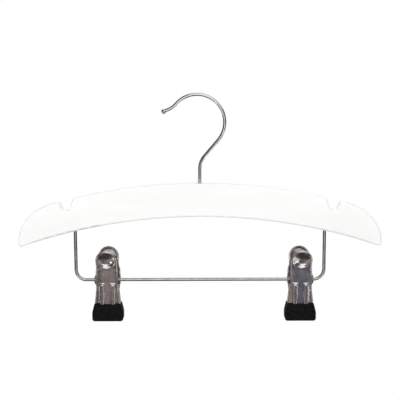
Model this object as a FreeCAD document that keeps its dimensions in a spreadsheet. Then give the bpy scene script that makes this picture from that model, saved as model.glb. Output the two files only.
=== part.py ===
import FreeCAD, Part
import math
import os
import Sketcher

# Skirt hanger. Millimetres, +Z up, +X to the right and +Y to the rear of the hanger.
# The origin lies inside the crook of the hook, on the axis of its shank, where a rail carries it.

SIZES = (
    # hook
    ("hook_wire", 2.7, "diameter of the hook's wire"),
    ("hook_drop", 71.1, "from the rail down to the top of the arm"),
    ("crook_radius", 22.6, "radius of the crook, to the middle of the wire"),
    ("crook_offset", 2.1, "crook's centre to the left of the shank"),
    ("hook_incline", 40.6, "lean of the straight run, in degrees from the shank"),
    ("hook_bend_radius", 16.5, "bend between shank and straight run"),
    ("crook_end_angle", 139.0, "where the crook ends, in degrees from +X"),
    ("tip_bend_radius", 16.0, "bend that turns the tip outwards"),
    ("tip_bend_angle", 25.0, "turn of that bend, in degrees"),
    ("tip_run", 4.7, "straight wire up to the middle of the ball"),
    ("tip_ball", 4.1, "diameter of the ball"),
    ("head_diameter", 5.4, "upset head at the shank's lower end"),
    ("head_height", 1.4, "height of that head"),
    # arm
    ("arm_length", 300.0, "tip to tip"),
    ("arm_height", 27.5, "top edge to bottom edge at the middle"),
    ("arm_thickness", 11.6, "front face to rear face"),
    ("top_arc_radius", 452.0, "curve of the top edge"),
    ("bottom_arc_radius", 456.0, "curve of the bottom edge"),
    ("lobe_radius", 31.0, "round of the arm's end"),
    ("lobe_turn", 66.0, "sweep of that round up from the tip, in degrees"),
    ("lobe_back_radius", 85.0, "flatter curve from there to the notch"),
    ("tip_edge_height", 4.2, "straight edge at the arm's tip, below that round"),
    ("notch_tip_gap", 39.9, "middle of the notch floor from the arm's tip"),
    ("notch_floor_width", 5.0, "floor of a strap notch"),
    ("notch_depth", 7.0, "that floor below the end of the flatter curve"),
    ("notch_outer_flare", 3.6, "how far the outer wall leans out"),
    ("notch_inner_flare", 3.4, "how far the inner wall leans in"),
    ("notch_outer_round", 1.6, "round at the foot of the outer wall"),
    ("notch_inner_round", 4.0, "round at the foot of the inner wall"),
    ("edge_round", 1.6, "round of the arm's long edges"),
    ("tip_corner_extra", 0.4, "tip corner beyond the edge round"),
    ("notch_outer_extra", 0.3, "outer notch corner beyond the edge round"),
    ("notch_inner_extra", 1.4, "inner notch corner beyond the edge round"),
    # swivel
    ("bush_diameter", 4.6, "outside of the bush"),
    ("washer_diameter", 8.0, "outside of the washer"),
    ("washer_height", 0.9, "thickness of the washer"),
    ("pocket_diameter", 8.6, "pocket under the arm for head and washer"),
    ("pocket_depth", 9.0, "its depth from the bottom edge"),
    # trouser bar
    ("bar_wire", 2.7, "diameter of the bar's wire"),
    ("bar_spread", 206.8, "between the middles of the two legs"),
    ("bar_drop", 152.2, "from the rail down to the middle of the bar"),
    ("bar_corner_radius", 8.4, "bend at each end of the bar, middle of the wire"),
    ("bar_seat_depth", 12.0, "length of each leg inside the arm"),
    # clips
    ("left_clip_place", 77.2, "middle of the left clip from the shank"),
    ("right_clip_place", 83.8, "middle of the right clip from the shank"),
    ("sheet", 0.8, "thickness of the stamped sheet"),
    ("flange_depth", 2.6, "depth of the turned rim, sheet included"),
    ("pad_top_height", 26.4, "top of the finger pad above the bar"),
    ("pad_reach", 12.6, "top of the finger pad from the clip's middle plane"),
    ("pad_radius", 9.1, "round outline of the finger pad"),
    ("bend_drop", 15.9, "foot of the finger pad below its top"),
    ("bend_reach", 7.0, "foot of the finger pad from the middle plane"),
    ("foot_drop", 33.2, "end of the sheet below the bar"),
    ("foot_reach", 3.9, "end of the sheet from the middle plane"),
    ("pad_bend_radius", 8.0, "bend at the foot of the finger pad"),
    ("rim_bevel", 0.6, "bevel along the turned rim"),
    ("neck_drop", 14.4, "narrowest place below the pad's top"),
    ("neck_half_width", 8.75, "half width there"),
    ("shoulder_step", 4.4, "top of the shoulders below the neck"),
    ("shoulder_drop", 4.6, "foot of the shoulders below the bar"),
    ("front_half_width", 9.2, "half width over the front jaw's shoulders"),
    ("ear_gap", 0.3, "between front ears and rear ears"),
    ("leg_half_width", 9.45, "half width of the gripping leg at its top"),
    ("leg_top_drop", 9.0, "that place below the bar"),
    ("flare_half_width", 10.8, "half width where the rubber starts"),
    ("flare_drop", 20.0, "that place below the bar"),
    ("foot_half_width", 11.5, "half width at the end of the sheet"),
    ("neck_round", 5.0, "round of the neck"),
    ("shoulder_round", 2.4, "round of the shoulders"),
    ("leg_round", 8.0, "round of the outline along the gripping leg"),
    ("foot_round", 1.8, "round of the sheet's lower corners"),
    ("dish_drop", 8.6, "middle of the dished hollow below the pad's top"),
    ("dish_radius", 7.2, "rim of the dished hollow"),
    ("dish_depth", 2.0, "depth of the hollow"),
    ("rib_spacing", 9.4, "between the middles of the two ribs"),
    ("rib_radius", 2.2, "round back of a rib"),
    ("rib_sink", 1.15, "middle of that round behind the outer face"),
    ("rib_top_drop", 2.0, "top of the ribs below the bar"),
    ("rib_foot_gap", 1.6, "lower end of the ribs above the end of the sheet"),
    ("ear_radius", 4.0, "round end of an ear"),
    # hinge sleeve and spring
    ("sleeve_wall", 0.45, "wall of the hollow rivet"),
    ("sleeve_head_radius", 2.9, "rolled heads of the rivet"),
    ("sleeve_head_height", 0.5, "thickness of those heads"),
    ("spring_wire", 1.1, "wire of the torsion spring"),
    ("spring_radius", 2.85, "coil radius, to the middle of the wire"),
    ("spring_pitch", 1.65, "advance of one turn"),
    ("spring_leg", 17.6, "length of each leg"),
    ("spring_pad_gap", 0.3, "between a leg and the back of the dished pad"),
    # rubber caps
    ("tip_face_gap", 0.3, "between the two rubber faces"),
    ("tip_bottom_drop", 34.5, "lower end of the rubber below the bar"),
    ("tip_top_half_width", 11.1, "half width at the rubber's top edge"),
    ("tip_wide_half_width", 12.9, "half width at its widest"),
    ("tip_wide_drop", 27.0, "widest place below the bar"),
    ("tip_lip", 1.1, "rubber outside the sheet at the top edge"),
    ("tip_wall", 1.7, "rubber outside the sheet lower down"),
    ("tip_swell_drop", 23.5, "where the full wall starts, below the bar"),
    ("tip_corner_round", 2.1, "lower corners of the rubber"),
    ("tip_edge_round", 0.5, "long edges of the rubber"),
    ("grip_pitch", 2.2, "between grip grooves"),
    ("grip_groove_width", 0.8, "width of a grip groove"),
    ("grip_groove_depth", 0.4, "depth of a grip groove"),
    ("grip_top_drop", 23.2, "first grip groove below the bar"),
    # fits
    ("running_gap", 0.08, "radial play of turning pieces"),
    ("slide_gap", 0.1, "radial play between sleeve and bar"),
    ("seat_gap", 0.02, "radial play of pressed pieces"),
    ("thrust_gap", 0.1, "play between faces that turn on each other"),
    ("cut_overrun", 1.0, "by which a cut runs past the piece"),
)
SPRING_TURNS = 4
ARCS_PER_TURN = 4
GRIP_GROOVES = 5
SPRING_GAP_FLOOR_SHARE = 0.3
SMOOTH_SHARE = 0.99
FACING_SHARE = 0.5

document = FreeCAD.newDocument("skirt_hanger")
sizes = document.addObject("Spreadsheet::Sheet", "sizes")
for row, (alias, value, meaning) in enumerate(SIZES, start=1):
    sizes.set("A%d" % row, meaning)
    sizes.set("B%d" % row, str(value))
    sizes.setAlias("B%d" % row, alias)
document.recompute()

finished = []


def of(alias):
    """Name of a sheet cell inside an expression."""
    return "sizes." + alias


def number(expression):
    """Value that an expression has at present."""
    return float(sizes.evalExpression(expression))


def origin_plane(body, role):
    """One of the body's own three planes."""
    for feature in body.Origin.OriginFeatures:
        if feature.Role == role:
            return feature
    raise RuntimeError("no plane " + role)


def new_body(label):
    """Empty body with its label."""
    body = document.addObject("PartDesign::Body", label)
    body.Label = label
    return body


def new_sketch(body, name, role, lift=None):
    """Sketch on one of the body's planes, raised along that plane's normal by an expression."""
    sketch = body.newObject("Sketcher::SketchObject", name)
    sketch.AttachmentSupport = [(origin_plane(body, role), "")]
    sketch.MapMode = "FlatFace"
    if lift:
        sketch.setExpression("AttachmentOffset.Base.z", lift)
    return sketch


def hold_point(sketch, edge, end, point):
    """Ties one end of an edge to the sketch's origin by two driven distances."""
    for kind, expression in zip(("DistanceX", "DistanceY"), point):
        drive(sketch, Sketcher.Constraint(kind, -1, 1, edge, end, number(expression)), expression)


def bowed_edge(start, end, radius, bow):
    """Arc between two points. Bow is +1 when the arc runs anticlockwise and -1 when clockwise."""
    chord = end - start
    middle = (start + end) * 0.5
    half = chord.Length / 2
    across = FreeCAD.Vector(-chord.y, chord.x, 0).normalize()
    centre = middle + across * (bow * math.sqrt(max(radius * radius - half * half, 0)))
    apex = centre - across * (bow * radius)
    return Part.Arc(start, apex, end)


def drive(sketch, constraint, expression):
    """Adds a constraint whose value follows an expression."""
    index = sketch.addConstraint(constraint)
    sketch.setExpression("Constraints[%d]" % index, expression)


def draw(sketch, points, bows=None, rounds=None, closed=True):
    """Chain of lines and arcs through driven points.

    bows gives, for an edge's number, the expression of its radius and the way it turns.
    rounds gives, for a corner's number, the expression of the radius that rounds it.
    """
    bows = bows or {}
    rounds = rounds or {}
    places = [FreeCAD.Vector(number(x), number(y), 0) for x, y in points]
    count = len(points) if closed else len(points) - 1
    leaving = list(places)
    arriving = list(places)
    for corner, radius in rounds.items():
        here = places[corner]
        back = (places[corner - 1] - here).normalize()
        ahead = (places[(corner + 1) % len(places)] - here).normalize()
        reach = number(radius) * math.sqrt((1 + back.dot(ahead)) / (1 - back.dot(ahead)))
        arriving[corner] = here + back * reach
        leaving[corner] = here + ahead * reach
    ends = []
    for step in range(count):
        start = leaving[step]
        end = arriving[(step + 1) % len(points)]
        if step in bows:
            radius, bow = bows[step]
            edge = sketch.addGeometry(bowed_edge(start, end, number(radius), bow))
            drive(sketch, Sketcher.Constraint("Radius", edge, number(radius)), radius)
            ends.append((edge, 1, 2) if bow > 0 else (edge, 2, 1))
        else:
            edge = sketch.addGeometry(Part.LineSegment(start, end))
            ends.append((edge, 1, 2))
    for step in range(count):
        edge, first, _ = ends[step]
        before, _, last = ends[step - 1]
        if step in rounds:
            radius = rounds[step]
            turn = (places[step] - places[step - 1]).cross(leaving[step] - places[step]).z
            bow = 1 if turn > 0 else -1
            arc = sketch.addGeometry(bowed_edge(arriving[step], leaving[step], number(radius), bow))
            opening, closing = (1, 2) if bow > 0 else (2, 1)
            sketch.addConstraint(Sketcher.Constraint("Tangent", before, last, arc, opening))
            sketch.addConstraint(Sketcher.Constraint("Tangent", arc, closing, edge, first))
            drive(sketch, Sketcher.Constraint("Radius", arc, number(radius)), radius)
            mark = sketch.addGeometry(Part.Point(places[step]), True)
            sketch.addConstraint(Sketcher.Constraint("PointOnObject", mark, 1, before))
            sketch.addConstraint(Sketcher.Constraint("PointOnObject", mark, 1, edge))
            hold_point(sketch, mark, 1, points[step])
            continue
        if closed or step > 0:
            sketch.addConstraint(Sketcher.Constraint("Coincident", before, last, edge, first))
        hold_point(sketch, edge, first, points[step])
    if not closed:
        edge, _, last = ends[-1]
        hold_point(sketch, edge, last, points[-1])


def draw_circle(sketch, x, y, radius):
    """Circle with a driven centre and radius."""
    centre = FreeCAD.Vector(number(x), number(y), 0)
    edge = sketch.addGeometry(Part.Circle(centre, FreeCAD.Vector(0, 0, 1), number(radius)))
    hold_point(sketch, edge, 3, (x, y))
    drive(sketch, Sketcher.Constraint("Radius", edge, number(radius)), radius)


def pad(body, name, sketch, length):
    """Extrusion by a driven length, half of it on each side of the sketch."""
    feature = body.newObject("PartDesign::Pad", name)
    feature.Profile = sketch
    feature.SideType = "Symmetric"
    feature.setExpression("Length", length)
    document.recompute()
    return feature


def pocket_through(body, name, sketch, length):
    """Cut of a driven length, half of it on each side of the sketch."""
    feature = body.newObject("PartDesign::Pocket", name)
    feature.Profile = sketch
    feature.SideType = "Symmetric"
    feature.setExpression("Length", length)
    document.recompute()
    return feature


def turned(body, name, sketch, axis, kind="PartDesign::Revolution"):
    """Full turn of a sketch about one of its axes, added or taken away."""
    feature = body.newObject(kind, name)
    feature.Profile = sketch
    feature.ReferenceAxis = (sketch, [axis])
    feature.Angle = 360
    document.recompute()
    return feature


def rounded(body, name, feature, edges, radius):
    """Rounded edges of a feature."""
    if not edges:
        raise RuntimeError("no edges for " + name)
    fillet = body.newObject("PartDesign::Fillet", name)
    fillet.Base = (feature, edges)
    fillet.setExpression("Radius", radius)
    document.recompute()
    return fillet


def bevelled(body, name, feature, edges, size):
    """Bevelled edges of a feature."""
    if not edges:
        raise RuntimeError("no edges for " + name)
    chamfer = body.newObject("PartDesign::Chamfer", name)
    chamfer.Base = (feature, edges)
    chamfer.setExpression("Size", size)
    document.recompute()
    return chamfer


def edges_through(shape, places, spread):
    """Names of the straight edges along `spread` that pass through the given places."""
    names = []
    for index, edge in enumerate(shape.Edges, start=1):
        if edge.Curve.TypeId != "Part::GeomLine":
            continue
        along = edge.Curve.Direction
        if abs(abs(along.dot(spread)) - 1) > 1e-6:
            continue
        start = edge.Vertexes[0].Point
        for place in places:
            offset = place - start
            if (offset - along * offset.dot(along)).Length < number(of("seat_gap")):
                names.append("Edge%d" % index)
                break
    return names


def sharp_edges(shape, wanted):
    """Names of the edges where two faces meet at an angle and that the given test wants."""
    names = []
    for index, edge in enumerate(shape.Edges, start=1):
        middle = edge.valueAt((edge.FirstParameter + edge.LastParameter) / 2)
        normals = []
        for face in shape.ancestorsOfType(edge, Part.Face):
            u, v = face.Surface.parameter(middle)
            normals.append(face.normalAt(u, v))
        meets_at_angle = len(normals) == 2 and normals[0].dot(normals[1]) < SMOOTH_SHARE
        if meets_at_angle and wanted(middle, normals):
            names.append("Edge%d" % index)
    return names


def pipe(body, name, path, profile):
    """Round wire along a path."""
    feature = body.newObject("PartDesign::AdditivePipe", name)
    feature.Profile = profile
    count = len([item for item in path.Geometry if item])
    feature.Spine = (path, ["Edge%d" % (step + 1) for step in range(count)])
    document.recompute()
    return feature


def place(feature, x="0", y="0", z="0"):
    """Driven position of a body or primitive."""
    for axis, expression in zip("xyz", (x, y, z)):
        feature.setExpression("Placement.Base." + axis, expression)


def ball(body, name, radius, x, y, z):
    """Sphere added to a body."""
    feature = body.newObject("PartDesign::AdditiveSphere", name)
    feature.setExpression("Radius", radius)
    place(feature, x, y, z)
    document.recompute()
    return feature


def upright(body, name, radius, height, x, z, kind="PartDesign::SubtractiveCylinder"):
    """Upright cylinder taken from a body, or added to it."""
    feature = body.newObject(kind, name)
    feature.setExpression("Radius", radius)
    feature.setExpression("Height", height)
    place(feature, x, "0", z)
    document.recompute()
    return feature


def finish(piece):
    """Marks a piece as complete."""
    document.recompute()
    finished.append(piece)
    return piece


# Heights shared by several pieces.
ARM_TOP = "-sizes.hook_drop"
ARM_BOTTOM = "(-sizes.hook_drop - sizes.arm_height)"
HALF_ARM = "sizes.arm_length / 2"
POCKET_TOP = "(%s + sizes.pocket_depth)" % ARM_BOTTOM
WASHER_FOOT = "(%s - sizes.washer_height)" % POCKET_TOP
HEAD_FOOT = "(%s - sizes.thrust_gap - sizes.head_height)" % WASHER_FOOT
BAR_HEIGHT = "-sizes.bar_drop"
HALF_SPREAD = "sizes.bar_spread / 2"
REAR_HALF_WIDTH = "(sizes.front_half_width + sizes.ear_gap + sizes.sheet)"
SLEEVE_BORE = "(sizes.bar_wire / 2 + sizes.slide_gap)"
SLEEVE_RADIUS = "(%s + sizes.sleeve_wall)" % SLEEVE_BORE


def arc_height(crown, radius, x):
    """Height of an upward arc at a distance from the middle."""
    return "(%s - %s + sqrt(%s^2 - (%s)^2))" % (crown, radius, radius, x)


LEG_TOP = "(%s + sizes.bar_seat_depth)" % arc_height(ARM_BOTTOM, of("bottom_arc_radius"), HALF_SPREAD)


def build_hook():
    """Wire from the head in the arm up through shank, run and crook to the ball at the tip."""
    body = new_body("hook")
    radius = of("crook_radius")
    lean = of("hook_incline")
    centre_x = "(-sizes.crook_offset)"
    centre_z = "(-sqrt((%s - sizes.hook_wire / 2)^2 - sizes.crook_offset^2))" % radius
    run_x = "(%s + %s * cos(%s))" % (centre_x, radius, lean)
    run_z = "(%s - %s * sin(%s))" % (centre_z, radius, lean)
    knee_z = "(%s - %s / tan(%s))" % (run_z, run_x, lean)
    reach = "(sizes.hook_bend_radius * tan(%s / 2))" % lean
    end_angle = of("crook_end_angle")
    tip_angle = "(sizes.crook_end_angle - sizes.tip_bend_angle)"
    far = "(%s + sizes.tip_bend_radius)" % radius
    turn_x = "(%s + %s * cos(%s))" % (centre_x, far, end_angle)
    turn_z = "(%s + %s * sin(%s))" % (centre_z, far, end_angle)
    bend_x = "(%s - sizes.tip_bend_radius * cos(%s))" % (turn_x, tip_angle)
    bend_z = "(%s - sizes.tip_bend_radius * sin(%s))" % (turn_z, tip_angle)
    ball_x = "(%s - sizes.tip_run * sin(%s))" % (bend_x, tip_angle)
    ball_z = "(%s + sizes.tip_run * cos(%s))" % (bend_z, tip_angle)
    crook_end_x = "%s + %s * cos(%s)" % (centre_x, radius, end_angle)
    crook_end_z = "%s + %s * sin(%s)" % (centre_z, radius, end_angle)
    path = new_sketch(body, "hook_path", "XZ_Plane")
    points = (
        ("0", HEAD_FOOT),
        ("0", "%s - %s" % (knee_z, reach)),
        ("%s * sin(%s)" % (reach, lean), "%s + %s * cos(%s)" % (knee_z, reach, lean)),
        (run_x, run_z),
        (centre_x, "%s + %s" % (centre_z, radius)),
        (crook_end_x, crook_end_z),
        (bend_x, bend_z),
        (ball_x, ball_z),
    )
    bows = {
        1: (of("hook_bend_radius"), -1),
        3: (radius, 1),
        4: (radius, 1),
        5: (of("tip_bend_radius"), -1),
    }
    draw(path, points, bows, closed=False)
    section = new_sketch(body, "hook_section", "XY_Plane", HEAD_FOOT)
    draw_circle(section, "0", "0", "sizes.hook_wire / 2")
    document.recompute()
    pipe(body, "hook_wire_run", path, section)
    ball(body, "hook_ball", "sizes.tip_ball / 2", ball_x, "0", ball_z)
    upright(body, "hook_head", "sizes.head_diameter / 2", of("head_height"), "0", HEAD_FOOT,
            "PartDesign::AdditiveCylinder")
    finish(body)


def build_arm():
    """Curved wooden arm with two strap notches, the hook's bore and pocket and the bar's holes."""
    body = new_body("arm")
    lobe_x = "(%s - sizes.lobe_radius)" % HALF_ARM
    tip_foot = arc_height(ARM_BOTTOM, of("bottom_arc_radius"), HALF_ARM)
    lobe_z = "(%s + sizes.tip_edge_height)" % tip_foot
    turn_x = "(%s + sizes.lobe_radius * cos(sizes.lobe_turn))" % lobe_x
    turn_z = "(%s + sizes.lobe_radius * sin(sizes.lobe_turn))" % lobe_z
    back_x = "(%s - sizes.lobe_back_radius * cos(sizes.lobe_turn))" % turn_x
    back_z = "(%s - sizes.lobe_back_radius * sin(sizes.lobe_turn))" % turn_z
    notch_middle = "(%s - sizes.notch_tip_gap)" % HALF_ARM
    floor_out = "(%s + sizes.notch_floor_width / 2)" % notch_middle
    floor_in = "(%s - sizes.notch_floor_width / 2)" % notch_middle
    wall_out = "(%s + sizes.notch_outer_flare)" % floor_out
    wall_in = "(%s - sizes.notch_inner_flare)" % floor_in
    wall_rise = "sqrt(sizes.lobe_back_radius^2 - (%s - %s)^2)" % (wall_out, back_x)
    wall_top = "(%s + %s)" % (back_z, wall_rise)
    floor_z = "(%s - sizes.notch_depth)" % wall_top
    half = (
        (HALF_ARM, tip_foot),
        (HALF_ARM, lobe_z),
        (turn_x, turn_z),
        (wall_out, wall_top),
        (floor_out, floor_z),
        (floor_in, floor_z),
        (wall_in, arc_height(ARM_TOP, of("top_arc_radius"), wall_in)),
    )
    mirrored = tuple(("-(%s)" % x, z) for x, z in reversed(half))
    outline = half + mirrored
    sketch = new_sketch(body, "arm_outline", "XZ_Plane")
    bows = {
        1: (of("lobe_radius"), 1),
        2: (of("lobe_back_radius"), 1),
        6: (of("top_arc_radius"), 1),
        10: (of("lobe_back_radius"), 1),
        11: (of("lobe_radius"), 1),
        13: (of("bottom_arc_radius"), -1),
    }
    draw(sketch, outline, bows)
    document.recompute()
    blank = pad(body, "arm_blank", sketch, of("arm_thickness"))
    across = FreeCAD.Vector(0, 1, 0)
    feature = blank
    corners = (
        ("tip_corners", (0,), "sizes.edge_round + sizes.tip_corner_extra"),
        ("notch_outer_corners", (3,), "sizes.edge_round + sizes.notch_outer_extra"),
        ("notch_outer_feet", (4,), of("notch_outer_round")),
        ("notch_inner_feet", (5,), of("notch_inner_round")),
        ("notch_inner_corners", (6,), "sizes.edge_round + sizes.notch_inner_extra"),
    )
    for name, picks, radius in corners:
        places = []
        for pick in picks:
            for side in (1, -1):
                places.append(FreeCAD.Vector(side * number(half[pick][0]), 0, number(half[pick][1])))
        feature = rounded(body, name, feature, edges_through(feature.Shape, places, across), radius)

    def at_face(middle, normals):
        """True along the front face and the rear face."""
        return max(abs(normal.y) for normal in normals) > FACING_SHARE

    rim = sharp_edges(feature.Shape, at_face)
    rounded(body, "arm_edges", feature, rim, of("edge_round"))
    upright(body, "bush_bore", "sizes.bush_diameter / 2 + sizes.seat_gap",
            "sizes.arm_height + 2 * sizes.cut_overrun", "0", "%s - sizes.cut_overrun" % ARM_BOTTOM)
    upright(body, "head_pocket", "sizes.pocket_diameter / 2", "sizes.pocket_depth + sizes.cut_overrun",
            "0", "%s - sizes.cut_overrun" % ARM_BOTTOM)
    for side, sign in (("left", "-"), ("right", "")):
        leg_x = "%ssizes.bar_spread / 2" % sign
        foot = "(%s - sizes.bar_seat_depth - sizes.arm_height)" % LEG_TOP
        upright(body, side + "_leg_bore", "sizes.bar_wire / 2 + sizes.seat_gap",
                "%s - %s" % (LEG_TOP, foot), leg_x, foot)
    finish(body)


def build_ring(label, inner, outer, foot, top):
    """Plain ring about the shank's axis."""
    body = new_body(label)
    section = new_sketch(body, label + "_section", "XZ_Plane")
    draw(section, ((inner, foot), (outer, foot), (outer, top), (inner, top)))
    document.recompute()
    turned(body, label + "_ring", section, "V_Axis")
    finish(body)


def build_bar():
    """U-shaped wire under the arm."""
    body = new_body("trouser_bar")
    corner = of("bar_corner_radius")
    path = new_sketch(body, "bar_path", "XZ_Plane")
    inner_x = "(%s - %s)" % (HALF_SPREAD, corner)
    bend_z = "(%s + %s)" % (BAR_HEIGHT, corner)
    points = (
        ("-(%s)" % HALF_SPREAD, LEG_TOP),
        ("-(%s)" % HALF_SPREAD, bend_z),
        ("-(%s)" % inner_x, BAR_HEIGHT),
        (inner_x, BAR_HEIGHT),
        (HALF_SPREAD, bend_z),
        (HALF_SPREAD, LEG_TOP),
    )
    draw(path, points, {1: (corner, 1), 3: (corner, 1)}, closed=False)
    section = new_sketch(body, "bar_section", "XY_Plane", LEG_TOP)
    draw_circle(section, "-(%s)" % HALF_SPREAD, "0", "sizes.bar_wire / 2")
    document.recompute()
    pipe(body, "bar_wire_run", path, section)
    finish(body)


BEND_HEIGHT = "(sizes.pad_top_height - sizes.bend_drop)"
NECK_HEIGHT = "(sizes.pad_top_height - sizes.neck_drop)"
SHOULDER_TOP = "(%s - sizes.shoulder_step)" % NECK_HEIGHT
DISH_HEIGHT = "(sizes.pad_top_height - sizes.dish_drop)"
PAD_RISE = "((sizes.pad_reach - sizes.bend_reach) / sizes.bend_drop)"
LEG_RISE = "((sizes.bend_reach - sizes.foot_reach) / (%s + sizes.foot_drop))" % BEND_HEIGHT


def leg_face(height):
    """Outer face of a jaw's gripping leg at a height above the bar."""
    return "(-sizes.bend_reach + %s * (%s - (%s)))" % (LEG_RISE, BEND_HEIGHT, height)


def jaw_line(shift):
    """Side view of a jaw's outer face, from the top of the pad to the foot, moved inwards."""
    top = "(sizes.pad_top_height + sizes.cut_overrun)"
    foot = "(-sizes.foot_drop - sizes.cut_overrun)"
    return (
        ("-sizes.pad_reach - %s * sizes.cut_overrun + %s" % (PAD_RISE, shift), top),
        ("-sizes.bend_reach + %s" % shift, BEND_HEIGHT),
        ("%s + %s" % (leg_face(foot), shift), foot),
    )


def jaw_outline(shoulder, inset):
    """Front view of a jaw, drawn smaller by the inset, anticlockwise from the pad's right side."""
    half = (
        ("sizes.pad_radius - %s" % inset, "sizes.pad_top_height - sizes.pad_radius"),
        ("sizes.neck_half_width - %s" % inset, NECK_HEIGHT),
        ("%s - %s" % (shoulder, inset), SHOULDER_TOP),
        ("%s - %s" % (shoulder, inset), "-sizes.shoulder_drop"),
        ("sizes.leg_half_width - %s" % inset, "-sizes.leg_top_drop"),
        ("sizes.flare_half_width - %s" % inset, "-sizes.flare_drop"),
        ("sizes.foot_half_width - %s" % inset, "-sizes.foot_drop + %s" % inset),
    )
    crown = ("0", "sizes.pad_top_height - %s" % inset)
    mirrored = tuple(("-(%s)" % x, z) for x, z in half)
    return (half[0], crown) + mirrored + tuple(reversed(half[1:]))


def rib_profile(body, name, offset, radius):
    """Half of a round-topped bar, drawn beside its own axis along the gripping leg."""
    lean = "atan(%s)" % LEG_RISE
    top_z = "(-sizes.rib_top_drop - sizes.rib_radius)"
    top_y = "(%s + sizes.rib_sink)" % leg_face(top_z)
    length = "((sizes.foot_drop - sizes.rib_foot_gap + %s) / cos(%s))" % (top_z, lean)
    sketch = new_sketch(body, name, "YZ_Plane", offset)
    sketch.setExpression("AttachmentOffset.Base.x", top_y)
    sketch.setExpression("AttachmentOffset.Base.y", top_z)
    sketch.setExpression("AttachmentOffset.Rotation.Angle", lean)
    points = (("0", radius), ("0", "-%s" % length), (radius, "-%s" % length), (radius, "0"))
    draw(sketch, points, {3: (radius, 1)})
    return sketch


def jaw_blank(body, name, shoulder, near, far, inset):
    """Bent slab between two depths behind the outer face, cut to the outline of the jaw."""
    sketch = new_sketch(body, name + "_bend", "YZ_Plane")
    draw(sketch, jaw_line(near) + tuple(reversed(jaw_line(far))))
    document.recompute()
    width = "2 * (sizes.foot_half_width + %s + sizes.cut_overrun)" % shoulder
    feature = pad(body, name + "_slab", sketch, width)
    sideways = FreeCAD.Vector(1, 0, 0)
    places = []
    for shift in (near, far):
        y, z = jaw_line(shift)[1]
        places.append(FreeCAD.Vector(0, number(y), number(z)))
    edges = edges_through(feature.Shape, places, sideways)
    feature = rounded(body, name + "_pad_bend", feature, edges, of("pad_bend_radius"))
    outline = jaw_outline(shoulder, inset)
    trim = new_sketch(body, name + "_outline", "XZ_Plane")
    reach = "(2 * (%s + sizes.foot_half_width + sizes.cut_overrun))" % shoulder
    top = "(sizes.pad_top_height + 2 * sizes.cut_overrun)"
    foot = "(-2 * sizes.foot_drop)"
    draw(trim, (("-%s" % reach, foot), (reach, foot), (reach, top), ("-%s" % reach, top)))
    lobe = ("sizes.pad_radius - %s" % inset, 1)
    corner_rounds = (
        (1, of("neck_round")),
        (2, of("shoulder_round")),
        (3, of("shoulder_round")),
        (4, of("leg_round")),
        (5, of("leg_round")),
        (6, "sizes.foot_round - %s" % inset),
    )
    rounds = {}
    for corner, radius in corner_rounds:
        rounds[2 + corner] = radius
        rounds[len(outline) - corner] = radius
    draw(trim, outline, {0: lobe, 1: lobe}, rounds)
    document.recompute()
    depth = "2 * (sizes.pad_reach + sizes.foot_drop)"
    return pocket_through(body, name + "_trim", trim, depth)


def jaw_form(body, name, shoulder):
    """Outside of a stamped jaw: slab with a rounded front rim and two ribs."""
    blank = jaw_blank(body, name, shoulder, "0", of("flange_depth"), "0")

    def at_front(middle, normals):
        """True along the rim of the outer face."""
        outward = [normal.y < -FACING_SHARE for normal in normals]
        inward = [normal.y > FACING_SHARE for normal in normals]
        return outward.count(True) == 1 and not any(inward)

    rim = sharp_edges(blank.Shape, at_front)
    bevelled(body, name + "_rim", blank, rim, of("rim_bevel"))
    for side, sign in (("left", "-"), ("right", "")):
        offset = "%ssizes.rib_spacing / 2" % sign
        half = rib_profile(body, "%s_%s_rib_half" % (name, side), offset, of("rib_radius"))
        document.recompute()
        turned(body, "%s_%s_rib" % (name, side), half, "V_Axis")


def dish_profile(body, name, radius_extra):
    """Section of the dished hollow beside its axis, square to the finger pad."""
    sphere = "((sizes.dish_radius^2 + sizes.dish_depth^2) / (2 * sizes.dish_depth))"
    lean = "atan(%s)" % PAD_RISE
    face_y = "(-sizes.pad_reach + %s * sizes.dish_drop)" % PAD_RISE
    sketch = new_sketch(body, name, "YZ_Plane")
    sketch.setExpression("AttachmentOffset.Base.x", face_y)
    sketch.setExpression("AttachmentOffset.Base.y", DISH_HEIGHT)
    sketch.setExpression("AttachmentOffset.Rotation.Angle", lean)
    ball_radius = "(%s + %s)" % (sphere, radius_extra)
    inward = "(sizes.dish_depth + %s)" % radius_extra
    rim = "sqrt(%s^2 - (%s - sizes.dish_depth)^2)" % (ball_radius, sphere)
    draw(sketch, (("0", "0"), (inward, "0"), ("0", rim)), {1: (ball_radius, 1)})
    return sketch


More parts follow.
